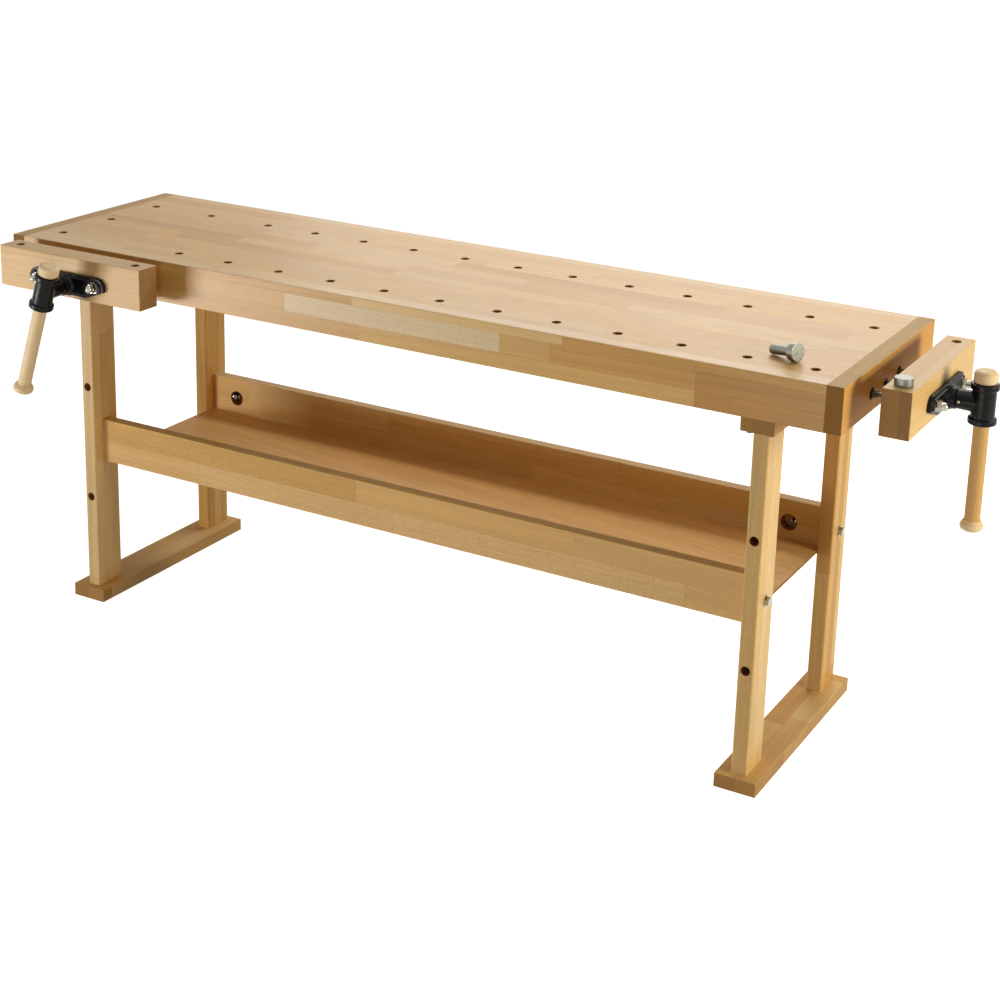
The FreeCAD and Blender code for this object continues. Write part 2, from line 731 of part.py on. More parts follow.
def make_loose_dog():
    """Lies on the rim of its head and the end of its shank."""
    shank_radius = dog_hole_d / 2 - running_gap - metal_edge
    head_radius = dog_head_d / 2 - dog_edge_radius
    lean = math.degrees(math.atan2(head_radius - shank_radius, dog_shank_length + dog_edge_radius))
    dog = make_dog(Vector(0, 0, 0))
    dog.translate(Z_AXIS * dog_shank_length)
    dog.rotate(Vector(0, 0, 0), Y_AXIS, 90 - lean)
    dog.rotate(Vector(0, 0, 0), Z_AXIS, loose_dog_turn)
    lowest = dog.optimalBoundingBox().ZMin
    dog.translate(Vector(bench_length - loose_dog_from_right, loose_dog_y,
                         bench_height + resting_gap - lowest))
    return dog


def main():
    os.makedirs("parts", exist_ok=True)
    export("top_panel", [make_top_panel()])
    export("front_apron", [drilled_for_top_screws(make_front_apron())])
    export("back_apron", [drilled_for_top_screws(make_back_apron())])
    export("left_end_cap", [make_end_cap(0, end_cap_width)])
    export("right_end_cap", [make_right_end_cap()])
    for side, outward, centre_x in zip(("left", "right"), (-1, 1), frame_centres_x):
        export(side + "_foot", [make_foot(centre_x)])
        export(side + "_top_bar", [make_top_bar(centre_x, outward)])
        export("front_" + side + "_leg", [make_leg(centre_x, leg_centres_y[0], True)])
        export("back_" + side + "_leg", [make_leg(centre_x, leg_centres_y[1], False)])
    export("front_rail", [make_rail(leg_centres_y[0], 1)])
    export("back_rail", [make_rail(leg_centres_y[1], -1)])
    export("shelf_panel", [make_shelf()])
    export("rail_bolts", make_rail_bolts())
    export("rail_washers", make_rail_washers())
    export("rail_nuts", make_rail_nuts())
    export("top_screws", make_top_screws())
    export_vise("front_vise", front_gap, apron_thickness, front_vise_centre(), 0, front_handle_tilt)
    export_vise("end_vise", end_gap, end_cap_width, end_vise_centre(), 90, end_handle_tilt)
    export("standing_dog", [make_standing_dog()])
    export("loose_dog", [make_loose_dog()])


main()
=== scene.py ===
"""Looks of the woodworking bench: its woods, castings, steel, light and camera."""

import math
from collections import namedtuple

import bpy
from mathutils import Matrix, Vector


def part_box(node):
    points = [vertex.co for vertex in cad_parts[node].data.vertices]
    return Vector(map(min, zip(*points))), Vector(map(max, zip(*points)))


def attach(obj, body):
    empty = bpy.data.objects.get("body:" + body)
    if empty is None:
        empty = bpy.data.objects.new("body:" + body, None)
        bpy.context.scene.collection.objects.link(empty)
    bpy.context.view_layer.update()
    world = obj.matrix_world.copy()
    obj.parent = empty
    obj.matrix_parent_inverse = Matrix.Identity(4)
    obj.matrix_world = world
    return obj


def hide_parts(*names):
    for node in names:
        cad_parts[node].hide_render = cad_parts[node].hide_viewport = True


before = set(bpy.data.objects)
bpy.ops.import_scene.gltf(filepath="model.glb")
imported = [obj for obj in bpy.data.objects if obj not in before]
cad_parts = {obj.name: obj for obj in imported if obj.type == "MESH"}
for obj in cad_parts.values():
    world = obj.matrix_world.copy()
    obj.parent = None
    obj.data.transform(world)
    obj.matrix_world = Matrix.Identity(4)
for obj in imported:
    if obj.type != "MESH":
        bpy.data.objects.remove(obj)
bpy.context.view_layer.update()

MM = 0.001
X = Vector((1, 0, 0))
Y = Vector((0, 1, 0))
Z = Vector((0, 0, 1))


# ---- Camera ----

CAMERA_PLACE = Vector((1.9097, -3.2642, 1.9039))
CAMERA_AZIMUTH = math.radians(29.266)
CAMERA_PITCH = math.radians(15.62)
CAMERA_ROLL = math.radians(1.557)
CAMERA_LENS = 67.45
CAMERA_SENSOR = 36.0
CAMERA_SHIFT_Y = -0.20


def make_camera():
    data = bpy.data.cameras.new("camera")
    data.lens = CAMERA_LENS
    data.sensor_width = CAMERA_SENSOR
    data.shift_y = CAMERA_SHIFT_Y
    data.clip_start = 0.05
    data.clip_end = 100.0
    back = Vector((math.sin(CAMERA_AZIMUTH) * math.cos(CAMERA_PITCH),
                   -math.cos(CAMERA_AZIMUTH) * math.cos(CAMERA_PITCH),
                   math.sin(CAMERA_PITCH)))
    level_right = Vector((math.cos(CAMERA_AZIMUTH), math.sin(CAMERA_AZIMUTH), 0))
    level_up = level_right.cross(-back)
    right = math.cos(CAMERA_ROLL) * level_right + math.sin(CAMERA_ROLL) * level_up
    up = math.cos(CAMERA_ROLL) * level_up - math.sin(CAMERA_ROLL) * level_right
    camera = bpy.data.objects.new("camera", data)
    bpy.context.collection.objects.link(camera)
    turn = Matrix((right, up, back)).transposed().to_4x4()
    camera.matrix_world = Matrix.Translation(CAMERA_PLACE) @ turn
    bpy.context.scene.camera = camera


# ---- Shader graphs ----

class Graph:
    """The node tree of a material or of the world, with short calls for the nodes that it uses."""

    def __init__(self, owner):
        owner.use_nodes = True
        self.owner = owner
        self.tree = owner.node_tree
        self.tree.nodes.clear()

    def node(self, kind, inputs=None, **settings):
        node = self.tree.nodes.new(kind)
        for key, value in settings.items():
            setattr(node, key, value)
        for key, value in (inputs or {}).items():
            self.feed(node.inputs[key], value)
        return node

    def feed(self, socket, value):
        if isinstance(value, bpy.types.NodeSocket):
            self.tree.links.new(value, socket)
        elif isinstance(value, (tuple, list, Vector)) and socket.type == "RGBA":
            socket.default_value = (*value[:3], 1.0)
        else:
            socket.default_value = value

    def math(self, operation, a, b=0.0, clamp=False):
        node = self.node("ShaderNodeMath", {0: a, 1: b}, operation=operation, use_clamp=clamp)
        return node.outputs[0]

    def plus(self, a, b):
        return self.math("ADD", a, b)

    def minus(self, a, b):
        return self.math("SUBTRACT", a, b)

    def times(self, a, b):
        return self.math("MULTIPLY", a, b)

    def below(self, value, limit):
        """1 where the value is below the limit, and otherwise 0."""
        return self.math("LESS_THAN", value, limit)

    def between(self, value, low, high):
        """1 where the value lies between two limits, and otherwise 0."""
        return self.times(self.math("GREATER_THAN", value, low), self.below(value, high))

    def centred(self, value, amount):
        """A value from 0 to 1 as a change of up to half the amount, up or down."""
        return self.times(self.minus(value, 0.5), amount)

    def span(self, value, low, high, to_low=0.0, to_high=1.0, smooth=False):
        kind = "SMOOTHSTEP" if smooth else "LINEAR"
        node = self.node("ShaderNodeMapRange", {0: value, 1: low, 2: high, 3: to_low, 4: to_high},
                         interpolation_type=kind)
        return node.outputs[0]

    def spread(self, value, reach):
        """A value from 0 to 1 as a number from minus the reach to the reach."""
        return self.span(value, 0.0, 1.0, -reach, reach)

    def vector_math(self, operation, a, b=(0, 0, 0)):
        node = self.node("ShaderNodeVectorMath", {0: a, 1: b}, operation=operation)
        return node.outputs["Value" if operation in ("DOT_PRODUCT", "LENGTH") else "Vector"]

    def dot(self, a, b):
        return self.vector_math("DOT_PRODUCT", a, b)

    def scaled(self, vector, factor):
        return self.vector_math("MULTIPLY", vector, (factor, factor, factor))

    def combine(self, x, y, z):
        return self.node("ShaderNodeCombineXYZ", {0: x, 1: y, 2: z}).outputs[0]

    def position(self):
        return self.node("ShaderNodeTexCoord").outputs["Object"]

    def normal(self):
        return self.node("ShaderNodeTexCoord").outputs["Normal"]

    def noise(self, vector, detail=2.0, roughness=0.5):
        node = self.node("ShaderNodeTexNoise", {"Vector": vector, "Scale": 1.0, "Detail": detail,
                                                "Roughness": roughness})
        return node.outputs["Fac"]

    def random(self, x, y, z):
        """Three random numbers for each whole-number place."""
        node = self.node("ShaderNodeTexWhiteNoise", {"Vector": self.combine(x, y, z)},
                         noise_dimensions="3D")
        split = self.node("ShaderNodeSeparateColor", {0: node.outputs["Color"]})
        return split.outputs[0], split.outputs[1], split.outputs[2]

    def shades(self, value, colours):
        """The colours in a row, blended, for a value from 0 to 1."""
        if len(colours) == 1:
            return colours[0]
        node = self.node("ShaderNodeValToRGB", {0: value})
        elements = node.color_ramp.elements
        while len(elements) < len(colours):
            elements.new(0.5)
        for i, colour in enumerate(colours):
            elements[i].position = i / (len(colours) - 1)
            elements[i].color = (*colour, 1.0)
        return node.outputs[0]

    def mix(self, factor, a, b):
        node = self.node("ShaderNodeMix", data_type="RGBA")
        self.feed(node.inputs["Factor"], factor)
        self.feed(node.inputs[6], a)
        self.feed(node.inputs[7], b)
        return node.outputs[2]

    def tinted(self, colour, amount):
        """The colour times a number that varies over the surface."""
        return self.vector_math("MULTIPLY", colour, self.combine(amount, amount, amount))

    def bump(self, height, strength, distance):
        node = self.node("ShaderNodeBump", {"Height": height, "Strength": strength, "Distance": distance})
        return node.outputs[0]

    def finish(self, inputs):
        """Ends a material's tree in a shader with these inputs."""
        shader = self.node("ShaderNodeBsdfPrincipled", inputs)
        self.node("ShaderNodeOutputMaterial", {"Surface": shader.outputs[0]})
        return self.owner


def material_graph(name):
    return Graph(bpy.data.materials.new(name))


def srgb(red, green, blue):
    """A colour as it shows on a screen, 0 to 255, in the renderer's linear values."""
    def linear(value):
        value /= 255.0
        return value / 12.92 if value <= 0.04045 else ((value + 0.055) / 1.055) ** 2.4
    return linear(red), linear(green), linear(blue)


# ---- Woods ----

BEECH_PALE = srgb(227, 190, 128)
BEECH_MIDDLE = srgb(217, 173, 102)
BEECH_WARM = srgb(203, 153, 82)
BEECH_FLECK = srgb(162, 108, 60)
BEECH_SPECKLED = srgb(226, 200, 156)
END_GRAIN = srgb(146, 105, 54)
PALE_END_GRAIN = srgb(168, 126, 74)
# Painted shade for the insides of bored holes and pockets, and for the walls of holes
HOLE_SHADE = srgb(160, 112, 67)

PALE_BOARDS = [BEECH_PALE, BEECH_MIDDLE, BEECH_PALE, BEECH_WARM, BEECH_MIDDLE]
GOLD_BOARDS = [BEECH_MIDDLE, BEECH_WARM, BEECH_MIDDLE, BEECH_PALE, BEECH_WARM]
TOP_BOARDS = [srgb(226, 184, 120), srgb(219, 173, 104), srgb(228, 188, 126), srgb(210, 160, 92),
              srgb(223, 179, 112)]
CAP_BOARDS = [srgb(219, 166, 90), srgb(209, 151, 76), srgb(222, 172, 98)]
FRONT_RAIL_BOARDS = [srgb(232, 195, 141), srgb(215, 169, 103), srgb(228, 188, 130), srgb(206, 157, 92)]
BACK_RAIL_BOARDS = [BEECH_PALE, BEECH_MIDDLE]
SHELF_PLY = [srgb(220, 178, 118), srgb(213, 169, 108)]
FRONT_LEG_BOARDS = [srgb(232, 197, 137), srgb(223, 181, 112)]
FRONT_JAW_BOARDS = [srgb(219, 179, 121), srgb(203, 160, 99)]
KNOB_WOOD = srgb(236, 209, 166)
KNOB_END_GRAIN = srgb(236, 209, 162)
FRONT_BAR_WOOD = srgb(236, 209, 165)
# The end vise's bar: a more golden beech, darkened all over as painted shade
END_BAR_WOOD_AND_SHADE = srgb(211, 167, 103)

# The rows that a board is glued up from: their width, where one of them starts, and a piece's usual length
Rows = namedtuple("Rows", "width start piece_length")
# One piece with its own colour, or a face with its own colour painted for how it is lit: its limits along
# and across the grain, and the flecks it has besides
Patch = namedtuple("Patch", "along across colour flecks")
# A bored hole, whose inside gets painted shade: a point on its axis, its direction, its radius, and how
# far from the point it reaches
Hollow = namedtuple("Hollow", "point axis radius reach")
# Noise drawn out along the grain: its cells per metre along and across, how far the pieces are moved
# against one another, and its detail and roughness
Streaks = namedtuple("Streaks", "per_along per_across shift detail roughness")

ONE_PIECE = Rows(width=1.0, start=-0.5, piece_length=9.0)
ROW_SHIFT = 7.31
LATEST_START = 0.55
GLUE_LINE_EDGES = (0.2 * MM, 0.6 * MM)

SWAY = Streaks(2.2, 14.0, 3.0, 3.0, 0.55)
FIBRES = Streaks(9.0, 420.0, 5.0, 3.0, 0.6)
CLOUDS = Streaks(2.6, 16.0, 9.0, 2.0, 0.5)
SPECKS = Streaks(190.0, 900.0, 1.0, 1.0, 0.5)
PORES_PER_METRE = 900.0
BANDS_PER_METRE = 95.0
RING_SPACING = 6 * MM
RING_SWAY = 22 * MM
# How far each piece moves and slopes the pith, across the rows and in depth
PITH_SHIFT = (0.10, 0.08)
PITH_SLOPE = (0.04, 0.07)

# How strongly each part of the figure lightens or darkens the wood
BAND_CONTRAST = 0.30
RING_CONTRAST = 0.030
FIBRE_CONTRAST = 0.24
CLOUD_CONTRAST = 0.20
GLUE_LINE_CONTRAST = 0.22
PORE_CONTRAST = 0.28
END_PIECE_CONTRAST = 0.34
END_RING_CONTRAST = (0.04, 0.15)
END_SHADE = 0.86

# The noise at which a fleck begins and is full, and the flecks of the plainest and the richest pieces
FLECK_LEVELS = (0.52, 0.74)
FLECK_SHARES = (0.3, 1.4)
# How squarely a surface faces along the grain where end grain begins and is full
END_FACING = (0.62, 0.86)
# How far outside its radius a hole's rim still gets the hole's painted shade, and the most that a shaded
# wall faces up
HOLE_MARGIN = 0.8 * MM
WALL_FACING = 0.8

WOOD_BUMP = 0.12
WOOD_RELIEF = 0.4 * MM
FLECK_DEPTH = 0.6
CLOUD_ROUGHNESS = 0.12
END_ROUGHNESS = 0.16


def staves(graph, along, across, rows, seed):
    """Edge-glued rows of pieces of uneven length: three random numbers a piece, and the glue lines."""
    row_place = graph.math("DIVIDE", graph.minus(across, rows.start), rows.width)
    row = graph.math("FLOOR", row_place)
    row_shift = graph.times(graph.random(row, seed, 3.0)[0], ROW_SHIFT)
    place = graph.plus(graph.math("DIVIDE", along, rows.piece_length), row_shift)
    whole = graph.math("FLOOR", place)
    rest = graph.math("FRACT", place)
    # Each piece starts late by up to about half its length, so that the lengths differ
    late = graph.times(graph.random(row, whole, seed + 5.0)[0], LATEST_START)
    cell = graph.minus(whole, graph.below(rest, late))
    row_rest = graph.math("FRACT", graph.plus(row_place, 0.5))
    to_side = graph.times(graph.math("ABSOLUTE", graph.minus(row_rest, 0.5)), rows.width)
    to_end = graph.times(graph.math("ABSOLUTE", graph.minus(rest, late)), rows.piece_length)
    line = graph.span(graph.math("MINIMUM", to_side, to_end), *GLUE_LINE_EDGES, 1.0, 0.0)
    return graph.random(row, cell, seed), line


class WoodGraph(Graph):
    """Places and random numbers of a wood whose pieces run along one axis and lie side by side
    along another."""

    def __init__(self, name, grain, across, rows, seed):
        super().__init__(bpy.data.materials.new(name))
        self.grain = grain
        self.deep_axis = grain.cross(across)
        self.place = self.position()
        self.along = self.dot(self.place, grain)
        self.side = self.dot(self.place, across)
        self.deep = self.dot(self.place, self.deep_axis)
        (self.r1, self.r2, self.r3), self.line = staves(self, self.along, self.side, rows, seed)

    def streaks(self, kind):
        """Noise drawn out along the grain, different in each piece."""
        along = self.plus(self.along, self.times(self.r2, kind.shift))
        side = self.plus(self.side, self.r3)
        place = self.combine(self.times(along, kind.per_along), self.times(side, kind.per_across),
                             self.times(self.deep, kind.per_across))
        return self.noise(place, kind.detail, kind.roughness)

    def rings(self):
        """Growth rings and broader bands about a pith, which each piece moves and slopes a little."""
        slope_x = self.times(self.along, self.spread(self.r1, PITH_SLOPE[0]))
        slope_y = self.times(self.along, self.spread(self.r3, PITH_SLOPE[1]))
        ring_x = self.plus(self.plus(self.side, slope_x), self.spread(self.r2, PITH_SHIFT[0]))
        ring_y = self.plus(self.plus(self.deep, slope_y), self.spread(self.r1, PITH_SHIFT[1]))
        radius = self.vector_math("LENGTH", self.combine(ring_x, ring_y, 0.0))
        radius = self.plus(radius, self.times(self.streaks(SWAY), RING_SWAY))
        ring = self.math("SINE", self.times(radius, 2 * math.pi / RING_SPACING))
        band = self.noise(self.combine(self.times(radius, BANDS_PER_METRE), self.r1, self.r2))
        return ring, band

    def piece_colours(self, colours, flecks, patches):
        """Each piece's own colour, with the patches over it, painted light among them, and how flecked it
        is.
        """
        colour = self.shades(self.r1, colours)
        least, most = FLECK_SHARES
        amount = self.span(self.r3, 0.0, 1.0, least * flecks, most * flecks)
        for patch in patches:
            here = self.times(self.between(self.along, *patch.along),
                              self.between(self.side, *patch.across))
            colour = self.mix(here, colour, patch.colour)
            amount = self.plus(amount, self.times(here, patch.flecks))
        return colour, amount

    def end_grain(self, colour, ring, figure):
        """The colour of a surface that is cut across the fibres."""
        pores = self.noise(self.scaled(self.place, PORES_PER_METRE))
        faint, clear = END_RING_CONTRAST
        ring_amount = self.span(pores, 0.3, 0.7, faint, clear * figure)
        shade = self.plus(END_SHADE, self.times(pores, PORE_CONTRAST))
        shade = self.plus(shade, self.times(ring, ring_amount))
        shade = self.plus(shade, self.centred(self.r1, END_PIECE_CONTRAST))
        return self.tinted(colour, shade)

    def bored(self, hollow):
        """1 inside a bored hole and on its rim, and otherwise 0: where the hole's painted shade goes."""
        offset = self.vector_math("SUBTRACT", self.place, hollow.point)
        distance = self.vector_math("LENGTH", self.vector_math("CROSS_PRODUCT", offset, hollow.axis))
        height = self.math("ABSOLUTE", self.dot(offset, hollow.axis))
        near = self.below(distance, hollow.radius + HOLE_MARGIN)
        return self.times(near, self.below(height, hollow.reach))

    def wall(self, height):
        """1 on steep surfaces that lie below a height, and otherwise 0: where painted shade goes on the
        walls of holes.
        """
        facing = self.math("ABSOLUTE", self.dot(self.normal(), self.deep_axis))
        return self.times(self.below(facing, WALL_FACING), self.below(self.deep, height))


def wood(name, grain, across, colours, rows, seed, flecks=0.32, figure=1.0, roughness=0.46,
         specular=0.08, end_colour=END_GRAIN, patches=(), shaded_hollows=(), shaded_walls_below=None):
    """Beech, glued up from rows of pieces of these colours. The insides of the given bored holes, and
    steep surfaces below the given height, which are the walls of holes, get painted shade."""
    graph = WoodGraph(name, grain, across, rows, seed)
    ring, band = graph.rings()
    fibre = graph.streaks(FIBRES)
    cloud = graph.streaks(CLOUDS)
    specks = graph.span(graph.streaks(SPECKS), *FLECK_LEVELS)

    colour, fleck_amount = graph.piece_colours(colours, flecks, patches)
    fleck = graph.math("MULTIPLY", specks, fleck_amount, clamp=True)
    shade = graph.plus(1.0, graph.centred(band, BAND_CONTRAST * figure))
    shade = graph.plus(shade, graph.times(ring, RING_CONTRAST * figure))
    shade = graph.plus(shade, graph.centred(fibre, FIBRE_CONTRAST))
    shade = graph.plus(shade, graph.centred(cloud, CLOUD_CONTRAST))
    shade = graph.minus(shade, graph.times(graph.line, GLUE_LINE_CONTRAST))
    colour = graph.mix(fleck, graph.tinted(colour, shade), BEECH_FLECK)

    facing = graph.math("ABSOLUTE", graph.dot(graph.normal(), grain))
    cut = graph.span(facing, *END_FACING, smooth=True)
    colour = graph.mix(cut, colour, graph.end_grain(end_colour, ring, figure))
    # Painted shade inside the bored holes and on the walls of holes
    for hollow in shaded_hollows:
        colour = graph.mix(graph.bored(hollow), colour, HOLE_SHADE)
    if shaded_walls_below is not None:
        colour = graph.mix(graph.wall(shaded_walls_below), colour, HOLE_SHADE)

    height = graph.minus(fibre, graph.times(fleck, FLECK_DEPTH))
    height = graph.minus(height, graph.line)
    rough = graph.plus(roughness, graph.centred(cloud, CLOUD_ROUGHNESS))
    rough = graph.plus(rough, graph.times(cut, END_ROUGHNESS))
    return graph.finish({"Base Color": colour, "Roughness": rough, "Specular IOR Level": specular,
                         "Normal": graph.bump(height, WOOD_BUMP, WOOD_RELIEF)})


# ---- Metals ----

# Cells per metre of the noises
SAND_GRAINS = 650.0
PAINT_CLOUDS = 60.0
PLATE_CLOUDS = 120.0
STEEL_CLOUDS = 170.0
TOOL_MARKS = 1800.0

BLACK_PAINT = (srgb(9, 9, 10), srgb(18, 18, 18))
RUBBED_PAINT = srgb(92, 78, 62)
ZINC_PLATE = (srgb(176, 168, 146), srgb(156, 157, 154))
# Dark and pale of each steel
SCREW_STEEL = (srgb(36, 34, 30), srgb(70, 66, 58))
GROUND_STEEL = (srgb(78, 73, 62), srgb(122, 116, 100))
PLAIN_STEEL = (srgb(66, 60, 50), srgb(112, 104, 90))
LOOSE_DOG_STEEL = (srgb(94, 95, 87), srgb(162, 162, 151))
STANDING_DOG_STEEL = (srgb(90, 91, 84), srgb(146, 147, 138))


def cast_iron(name):
    """Satin black paint over a sand-cast skin, rubbed a little browner on its edges."""
    graph = material_graph(name)
    place = graph.position()
    skin = graph.noise(graph.scaled(place, SAND_GRAINS), 3.0, 0.6)
    cloud = graph.noise(graph.scaled(place, PAINT_CLOUDS))
    edge = graph.node("ShaderNodeNewGeometry").outputs["Pointiness"]
    worn = graph.times(graph.span(edge, 0.53, 0.60), graph.span(cloud, 0.45, 0.62))
    colour = graph.mix(worn, graph.mix(cloud, *BLACK_PAINT), RUBBED_PAINT)
    return graph.finish({"Base Color": colour, "Roughness": graph.span(cloud, 0.3, 0.7, 0.22, 0.36),
                         "Specular IOR Level": 0.15, "Normal": graph.bump(skin, 0.22, 0.5 * MM)})


def zinc(name):
    """Bright zinc plate with faint blue and straw clouds."""
    graph = material_graph(name)
    cloud = graph.noise(graph.scaled(graph.position(), PLATE_CLOUDS))
    return graph.finish({"Base Color": graph.mix(cloud, *ZINC_PLATE), "Metallic": 1.0,
                         "Roughness": graph.span(cloud, 0.3, 0.7, 0.14, 0.26)})


def steel(name, axis, colours, roughness):
    """Turned or ground steel, its fine marks running round the axis."""
    graph = material_graph(name)
    place = graph.position()
    marks = graph.noise(graph.combine(graph.times(graph.dot(place, axis), TOOL_MARKS), 0.0, 0.0))
    cloud = graph.noise(graph.scaled(place, STEEL_CLOUDS), 3.0, 0.6)
    blend = graph.plus(graph.times(cloud, 0.7), graph.times(marks, 0.3))
    return graph.finish({"Base Color": graph.mix(blend, *colours), "Metallic": 1.0,
                         "Roughness": graph.plus(roughness, graph.centred(cloud, 0.3)),
                         "Normal": graph.bump(marks, 0.05, 0.3 * MM)})


# ---- Pieces built as meshes ----

LEAD_SCREW_RADIUS = 10 * MM
THREAD_ROOT_RADIUS = 7.9 * MM
THREAD_PITCH = 5 * MM
# One turn of the thread, from root to crest: the share of the pitch, and the radius there
THREAD_ROWS = ((0.00, THREAD_ROOT_RADIUS), (0.34, THREAD_ROOT_RADIUS), (0.46, LEAD_SCREW_RADIUS),
               (0.88, LEAD_SCREW_RADIUS))
THREAD_SEGMENTS = 48
SCREW_SHARP_ANGLE = 30
JOURNAL_RADIUS = 8 * MM
JOURNAL_LENGTH = 52.4 * MM
SCREW_LENGTH_IN_BENCH = 222 * MM
SCREW_HEIGHT = 0.804
JAW_THICKNESS = 57.5 * MM
HUB_AXIS_FROM_JAW = 77 * MM
HUB_HALF_HEIGHT = 39.5 * MM
HANDLE_LENGTH = 272 * MM
HANDLE_TENON_RADIUS = 9 * MM
HANDLE_TENON_LENGTH = 12 * MM
FRONT_HANDLE_TILT = math.radians(17.5)
KNOB_RADIUS = 22.5 * MM
KNOB_SEGMENTS = 72
KNOB_SHARP_ANGLE = 40
CASTING_VOXEL = 0.9 * MM
CASTING_SMOOTHING = 7
CASTING_SHARP_ANGLE = 60
# A casting's bore: its radius, and how far its points lie from its axis and along it at most
Bore = namedtuple("Bore", "radius reach length")
HANDLE_BORE = Bore(15.12 * MM, 15.9 * MM, 60 * MM)
JOURNAL_BORE = Bore(8.12 * MM, 9 * MM, 40 * MM)


class Vise:
    """Where one vise's screw and handle lie. Outward points from the bench to the jaw's face."""

    def __init__(self, prefix, outward, rim_point, gap, tilt):
        self.prefix = prefix
        self.outward = outward
        self.face = rim_point + outward * (gap + JAW_THICKNESS)
        self.inner_end = rim_point - outward * SCREW_LENGTH_IN_BENCH
        self.hub = self.face + outward * HUB_AXIS_FROM_JAW
        self.handle_axis = (math.cos(tilt) * Z + math.sin(tilt) * Z.cross(outward)).normalized()


FRONT_VISE = Vise("front_vise", outward=-Y, rim_point=Vector((-0.85975, -0.17325, SCREW_HEIGHT)),
                  gap=33 * MM, tilt=FRONT_HANDLE_TILT)
END_VISE = Vise("end_vise", outward=X, rim_point=Vector((0.89025, 0.06825, SCREW_HEIGHT)),
                gap=55 * MM, tilt=0.0)


def frame_about(axis):
    """Two directions that make a right-handed frame with an axis."""
    first = axis.orthogonal().normalized()
    return first, axis.cross(first)


def around(angle, directions):
    """The direction at an angle about an axis, from the two directions of its frame."""
    return math.cos(angle) * directions[0] + math.sin(angle) * directions[1]


def distinct(corners):
    """The corners of a face, each once."""
    return list(dict.fromkeys(corners))


def place_piece(name, mesh, sharp_angle, body, node, material):
    """An object that stands for one CAD node and rides on its body."""
    mesh.polygons.foreach_set("use_smooth", [True] * len(mesh.polygons))
    mesh.set_sharp_from_angle(angle=math.radians(sharp_angle))
    mesh.materials.clear()
    mesh.materials.append(material)
    piece = bpy.data.objects.new(name, mesh)
    bpy.context.collection.objects.link(piece)
    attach(piece, body)
    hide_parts(node)


def mesh_from(name, points, faces):
    mesh = bpy.data.meshes.new(name)
    mesh.from_pydata(points, [], faces)
    mesh.validate()
    return mesh


def turned(profile, base, axis, segments):
    """Points and faces of a turned shape. The profile is (radius, height) from one pole to the other."""
    directions = frame_about(axis)
    points = []
    rings = []
    for radius, height in profile:
        centre = base + axis * height
        if radius == 0.0:
            rings.append([len(points)] * segments)
            points.append(centre)
            continue
        rings.append(list(range(len(points), len(points) + segments)))
        for i in range(segments):
            points.append(centre + radius * around(2 * math.pi * i / segments, directions))
    faces = []
    for low, high in zip(rings, rings[1:]):
        for i in range(segments):
            j = (i + 1) % segments
            faces.append(distinct([low[i], low[j], high[j], high[i]]))
    return points, faces


def arc(centre_r, centre_h, radius, start, end, steps):
    """Points of a profile along an arc, its angles in degrees from the outward direction."""
    turn = [math.radians(start + (end - start) * i / steps) for i in range(steps + 1)]
    return [(centre_r + radius * math.cos(a), centre_h + radius * math.sin(a)) for a in turn]


def knob_socket():
    """The profile of the hole that the bar's tenon fills."""
    return [(0.0, HANDLE_TENON_LENGTH), (HANDLE_TENON_RADIUS, HANDLE_TENON_LENGTH),
            (HANDLE_TENON_RADIUS, 0.0)]


def upper_knob_profile():
    """A short drum, its edges rounded and its top a little hollow from the lathe."""
    profile = knob_socket() + [(14.9 * MM, 0.0), (16.5 * MM, 0.3 * MM)]
    profile += arc(17.3 * MM, 5.2 * MM, 5.2 * MM, -75, 0, 8)
    profile += [(KNOB_RADIUS, 9.0 * MM), (KNOB_RADIUS, 14.0 * MM)]
    profile += arc(15.5 * MM, 17.0 * MM, 7.0 * MM, 0, 84, 10)
    profile += [(13.0 * MM, 23.9 * MM), (8.0 * MM, 23.7 * MM), (2.0 * MM, 23.5 * MM), (0.0, 23.5 * MM)]
    return profile


def lower_knob_profile():
    """A flattened ball with a small ledge and a groove where the bar enters it."""
    profile = knob_socket() + [(15.0 * MM, 0.0), (15.3 * MM, 1.6 * MM), (16.7 * MM, 0.2 * MM)]
    profile += [(17.2 * MM, 0.4 * MM), (17.4 * MM, 1.5 * MM), (17.0 * MM, 2.4 * MM)]
    profile += arc(12.5 * MM, 11.4 * MM, 10.0 * MM, -58, 0, 8)
    dome = [math.radians(90 * i / 16) for i in range(1, 16)]
    profile += [(KNOB_RADIUS * math.cos(a), (12.6 + 11.4 * math.sin(a)) * MM) for a in dome]
    profile += [(0.0, 24.0 * MM)]
    return profile


def make_knobs(vise, body, material):
    top = vise.hub + vise.handle_axis * HUB_HALF_HEIGHT
    bottom = top - vise.handle_axis * HANDLE_LENGTH
    for place, axis, base, profile in (("upper", vise.handle_axis, top, upper_knob_profile()),
                                       ("lower", -vise.handle_axis, bottom, lower_knob_profile())):
        node = "%s_handle_%s_knob" % (vise.prefix, place)
        name = node + "_turned"
        mesh = mesh_from(name, *turned(profile, base, axis, KNOB_SEGMENTS))
        place_piece(name, mesh, KNOB_SHARP_ANGLE, body, node, material)


